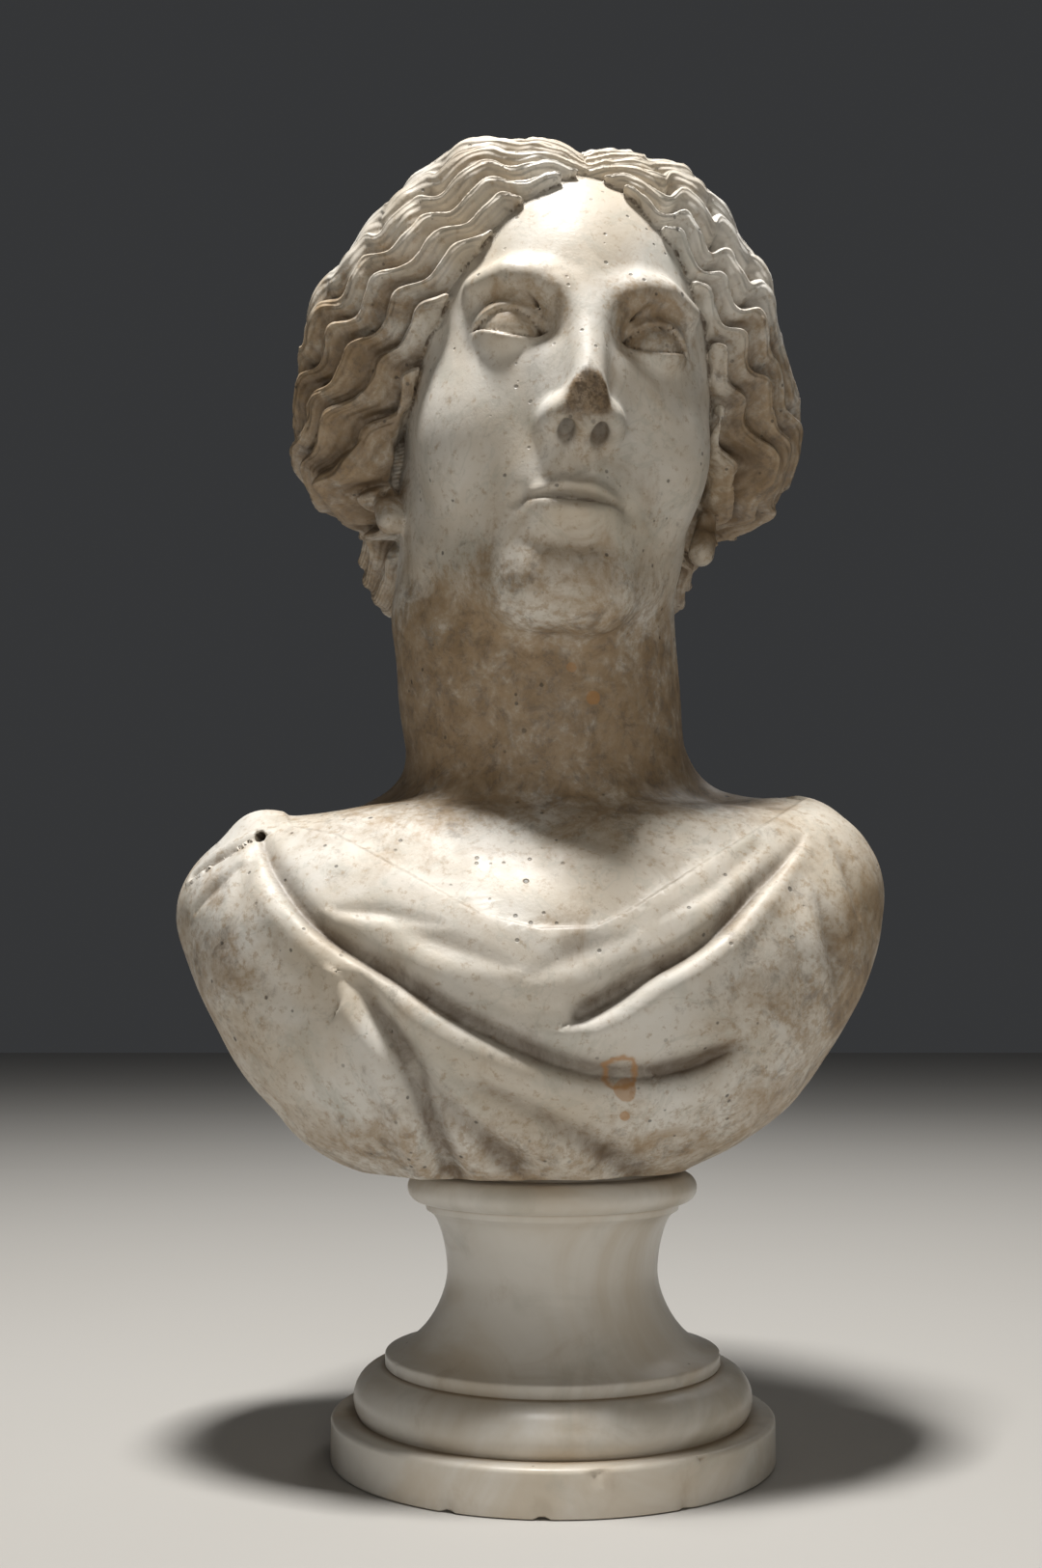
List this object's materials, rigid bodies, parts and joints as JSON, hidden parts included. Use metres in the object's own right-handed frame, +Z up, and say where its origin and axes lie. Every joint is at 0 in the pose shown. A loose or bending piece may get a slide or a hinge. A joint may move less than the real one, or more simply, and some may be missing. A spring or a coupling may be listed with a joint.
{
  "type": "marble bust",
  "caption": "Draped marble bust of a goddess with wavy parted hair and a turned head, resting on a turned round marble socle.",
  "frame": {"origin": "centre of the socle's round underside", "axes": "+Z up along the socle's axis, -Y the way the chest faces, +X to the right of someone facing the bust"},
  "size_m": [0.3137, 0.2338, 0.5892],
  "materials": {
    "patinated_marble": "hand-finished white marble with grey veins and brown patina in the hair, folds and lower edges, small pits",
    "polished_marble": "turned and rubbed smooth, faint mottling, tan in the grooves, small chips on the edges"
  },
  "bodies": {
    "root": {"bust": "patinated_marble", "socle": "polished_marble"}
  },
  "joints": []
}
